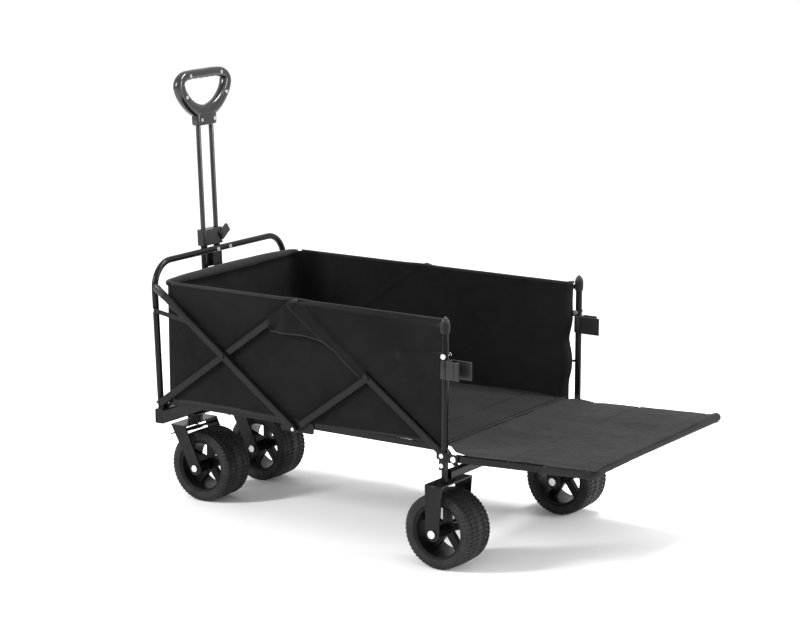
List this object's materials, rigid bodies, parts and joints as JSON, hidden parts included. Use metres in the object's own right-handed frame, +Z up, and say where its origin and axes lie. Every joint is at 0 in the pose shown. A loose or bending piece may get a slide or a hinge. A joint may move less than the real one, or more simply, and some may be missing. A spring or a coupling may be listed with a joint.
{
  "type": "folding camp wagon",
  "caption": "Four-wheeled folding camp wagon with scissor side frames, fabric bed, fold-down tailgate, swivel front casters and telescoping pull handle.",
  "frame": {"origin": "on the ground, under the middle of the opened wagon's overall length and width", "axes": "+X from the pull handle to the tailgate, along the wagon's length; +Z up; +Y across the wagon"},
  "size_m": [1.338, 0.685, 1.0716],
  "materials": {
    "frame_paint": "satin black powder coat",
    "inner_tube_paint": "semi-gloss black",
    "zinc_steel": "bright zinc",
    "wall_fabric": "woven polyester, charcoal black",
    "floor_fabric": "woven polyester, charcoal black",
    "gate_fabric": "woven polyester, charcoal black",
    "tyre_rubber": "matt black rubber",
    "rim_plastic": "matt black",
    "black_plastic": "fine-grained black",
    "grip_plastic": "glossy black"
  },
  "bodies": {
    "front_frame": {"front_u_frame": "frame_paint", "front_cross_bar": "frame_paint", "front_rivets": "zinc_steel", "handle_clip": "frame_paint", "handle_bracket": "frame_paint", "caster_mounts": "frame_paint", "front_wall": "wall_fabric", "wall_near": "wall_fabric", "wall_far": "wall_fabric"},
    "floor_front": {"floor_frame_front": "frame_paint", "floor_panel_front": "floor_fabric"},
    "floor_rear": {"floor_frame_rear": "frame_paint", "floor_panel_rear": "floor_fabric"},
    "floor_center_body": {"floor_center": "floor_fabric", "center_brackets": "frame_paint"},
    "rear_frame": {"rear_posts": "frame_paint", "rear_cross_bar": "frame_paint", "rear_forks": "frame_paint", "rear_gussets": "frame_paint", "latch_clips": "black_plastic", "post_caps": "black_plastic", "rear_fasteners": "zinc_steel"},
    "tailgate": {"tailgate_frame": "frame_paint", "tailgate_panel": "gate_fabric"},
    "handle_lower": {"handle_outer_tubes": "frame_paint", "handle_collar": "black_plastic"},
    "handle_upper": {"handle_inner_tubes": "inner_tube_paint", "handle_grip": "grip_plastic", "grip_screws": "zinc_steel"},
    "lock_lever_body": {"lock_lever": "black_plastic"},
    "bar_a_near_body": {"bar_a_near": "frame_paint"},
    "bar_b_near_body": {"bar_b_near": "frame_paint", "bar_b_rivets_near": "zinc_steel"},
    "bar_c_near_body": {"bar_c_near": "frame_paint", "bar_c_rivet_near": "zinc_steel"},
    "bar_d_near_body": {"bar_d_near": "frame_paint"},
    "link_front_near_body": {"link_front_near": "frame_paint"},
    "link_rear_near_body": {"link_rear_near": "frame_paint"},
    "caster_near": {"caster_fork_near": "frame_paint", "caster_axle_near": "zinc_steel"},
    "brake_near": {"brake_pedal_near": "black_plastic"},
    "wheel_front_near_body": {"tyre_front_near": "tyre_rubber", "rim_front_near": "rim_plastic"},
    "wheel_rear_near_body": {"tyre_rear_near": "tyre_rubber", "rim_rear_near": "rim_plastic"},
    "bar_a_far_body": {"bar_a_far": "frame_paint"},
    "bar_b_far_body": {"bar_b_far": "frame_paint", "bar_b_rivets_far": "zinc_steel"},
    "bar_c_far_body": {"bar_c_far": "frame_paint", "bar_c_rivet_far": "zinc_steel"},
    "bar_d_far_body": {"bar_d_far": "frame_paint"},
    "link_front_far_body": {"link_front_far": "frame_paint"},
    "link_rear_far_body": {"link_rear_far": "frame_paint"},
    "caster_far": {"caster_fork_far": "frame_paint", "caster_axle_far": "zinc_steel"},
    "brake_far": {"brake_pedal_far": "black_plastic"},
    "wheel_front_far_body": {"tyre_front_far": "tyre_rubber", "rim_front_far": "rim_plastic"},
    "wheel_rear_far_body": {"tyre_rear_far": "tyre_rubber", "rim_rear_far": "rim_plastic"}
  },
  "joints": [
    {"name": "fold", "type": "hinge", "parent": "front_frame", "child": "bar_b_near_body", "pos_m": [-0.588, -0.28, 0.268], "axis": [0, -1, 0], "range_deg": [0, 47], "deforming": ["wall_near", "wall_far"]},
    {"name": "fold_a_near", "type": "hinge", "parent": "bar_b_near_body", "child": "bar_a_near_body", "pos_m": [-0.377, -0.28, 0.42], "axis": [0, -1, 0], "range_deg": [-94.05, 0.05]},
    {"name": "fold_c_near", "type": "hinge", "parent": "bar_b_near_body", "child": "bar_c_near_body", "pos_m": [-0.166, -0.28, 0.572], "axis": [0, -1, 0], "range_deg": [-94.05, 0.05]},
    {"name": "fold_d_near", "type": "hinge", "parent": "bar_c_near_body", "child": "bar_d_near_body", "pos_m": [0.045, -0.28, 0.42], "axis": [0, -1, 0], "range_deg": [-0.05, 94.05]},
    {"name": "fold_b_far", "type": "hinge", "parent": "front_frame", "child": "bar_b_far_body", "pos_m": [-0.588, 0.28, 0.268], "axis": [0, -1, 0], "range_deg": [-0.05, 47.05]},
    {"name": "fold_a_far", "type": "hinge", "parent": "bar_b_far_body", "child": "bar_a_far_body", "pos_m": [-0.377, 0.28, 0.42], "axis": [0, -1, 0], "range_deg": [-94.05, 0.05]},
    {"name": "fold_c_far", "type": "hinge", "parent": "bar_b_far_body", "child": "bar_c_far_body", "pos_m": [-0.166, 0.28, 0.572], "axis": [0, -1, 0], "range_deg": [-94.05, 0.05]},
    {"name": "fold_d_far", "type": "hinge", "parent": "bar_c_far_body", "child": "bar_d_far_body", "pos_m": [0.045, 0.28, 0.42], "axis": [0, -1, 0], "range_deg": [-0.05, 94.05]},
    {"name": "fold_rear", "type": "hinge", "parent": "bar_c_near_body", "child": "rear_frame", "pos_m": [0.256, -0.28, 0.268], "axis": [0, -1, 0], "range_deg": [-0.05, 47.05]},
    {"name": "fold_center", "type": "hinge", "parent": "bar_a_near_body", "child": "floor_center_body", "pos_m": [-0.166, -0.28, 0.268], "axis": [0, -1, 0], "range_deg": [-0.05, 47.05]},
    {"name": "floor_front_lift", "type": "hinge", "parent": "front_frame", "child": "floor_front", "pos_m": [-0.566, 0, 0.276], "axis": [0, -1, 0], "range_deg": [-0.05, 90.05]},
    {"name": "floor_rear_lift", "type": "hinge", "parent": "rear_frame", "child": "floor_rear", "pos_m": [0.234, 0, 0.276], "axis": [0, -1, 0], "range_deg": [-90.05, 0.05]},
    {"name": "link_front_turn_near", "type": "hinge", "parent": "front_frame", "child": "link_front_near_body", "pos_m": [-0.59839, -0.28, 0.506], "axis": [0, -1, 0], "range_deg": [-0.05, 86.61]},
    {"name": "link_rear_turn_near", "type": "hinge", "parent": "rear_frame", "child": "link_rear_near_body", "pos_m": [0.27, -0.28, 0.502], "axis": [0, -1, 0], "range_deg": [-83.61, 0.05]},
    {"name": "link_front_turn_far", "type": "hinge", "parent": "front_frame", "child": "link_front_far_body", "pos_m": [-0.59839, 0.28, 0.506], "axis": [0, -1, 0], "range_deg": [-0.05, 86.61]},
    {"name": "link_rear_turn_far", "type": "hinge", "parent": "rear_frame", "child": "link_rear_far_body", "pos_m": [0.27, 0.28, 0.502], "axis": [0, -1, 0], "range_deg": [-83.61, 0.05]},
    {"name": "tailgate_hinge", "type": "hinge", "parent": "rear_frame", "child": "tailgate", "pos_m": [0.3, 0, 0.267], "axis": [0, -1, 0], "range_deg": [0, 87.5]},
    {"name": "handle_tilt", "type": "hinge", "parent": "front_frame", "child": "handle_lower", "pos_m": [-0.619, 0, 0.24], "axis": [0, -1, 0], "range_deg": [0, 80]},
    {"name": "handle_slide", "type": "slide", "parent": "handle_lower", "child": "handle_upper", "axis": [0.0419, 0, -0.9991], "range_m": [0, 0.25]},
    {"name": "lever_flip", "type": "hinge", "parent": "handle_lower", "child": "lock_lever_body", "pos_m": [-0.6201, 0.03, 0.64831], "axis": [0.9991, 0, 0.0419], "range_deg": [0, 60]},
    {"name": "caster_swivel_near", "type": "hinge", "parent": "front_frame", "child": "caster_near", "pos_m": [-0.599, -0.119, 0.2], "axis": [0, 0, 1], "continuous": true},
    {"name": "wheel_front_near", "type": "hinge", "parent": "caster_near", "child": "wheel_front_near_body", "pos_m": [-0.549, -0.119, 0.09], "axis": [0, 1, 0], "continuous": true},
    {"name": "brake_press_near", "type": "hinge", "parent": "caster_near", "child": "brake_near", "pos_m": [-0.588, -0.119, 0.18], "axis": [0, -1, 0], "range_deg": [0, 8], "stiffness_Nm_per_rad": 2},
    {"name": "wheel_rear_near", "type": "hinge", "parent": "rear_frame", "child": "wheel_rear_near_body", "pos_m": [0.259, -0.272, 0.09], "axis": [0, 1, 0], "continuous": true},
    {"name": "caster_swivel_far", "type": "hinge", "parent": "front_frame", "child": "caster_far", "pos_m": [-0.599, 0.119, 0.2], "axis": [0, 0, 1], "continuous": true},
    {"name": "wheel_front_far", "type": "hinge", "parent": "caster_far", "child": "wheel_front_far_body", "pos_m": [-0.549, 0.119, 0.09], "axis": [0, 1, 0], "continuous": true},
    {"name": "brake_press_far", "type": "hinge", "parent": "caster_far", "child": "brake_far", "pos_m": [-0.588, 0.119, 0.18], "axis": [0, -1, 0], "range_deg": [0, 8], "stiffness_Nm_per_rad": 2},
    {"name": "wheel_rear_far", "type": "hinge", "parent": "rear_frame", "child": "wheel_rear_far_body", "pos_m": [0.259, 0.272, 0.09], "axis": [0, 1, 0], "continuous": true}
  ],
  "couplings": [
    {"joint": "fold_a_near", "follows": "fold", "ratio": -2},
    {"joint": "fold_c_near", "follows": "fold", "ratio": -2},
    {"joint": "fold_d_near", "follows": "fold", "ratio": 2},
    {"joint": "fold_b_far", "follows": "fold", "ratio": 1},
    {"joint": "fold_a_far", "follows": "fold", "ratio": -2},
    {"joint": "fold_c_far", "follows": "fold", "ratio": -2},
    {"joint": "fold_d_far", "follows": "fold", "ratio": 2},
    {"joint": "fold_rear", "follows": "fold", "ratio": 1},
    {"joint": "fold_center", "follows": "fold", "ratio": 1},
    {"joint": "floor_front_lift", "follows": "fold", "ratio": 1.9149},
    {"joint": "floor_rear_lift", "follows": "fold", "ratio": -1.9149},
    {"joint": "link_front_turn_near", "follows": "fold", "ratio": 1.8417},
    {"joint": "link_rear_turn_near", "follows": "fold", "ratio": -1.7779},
    {"joint": "link_front_turn_far", "follows": "fold", "ratio": 1.8417},
    {"joint": "link_rear_turn_far", "follows": "fold", "ratio": -1.7779}
  ]
}
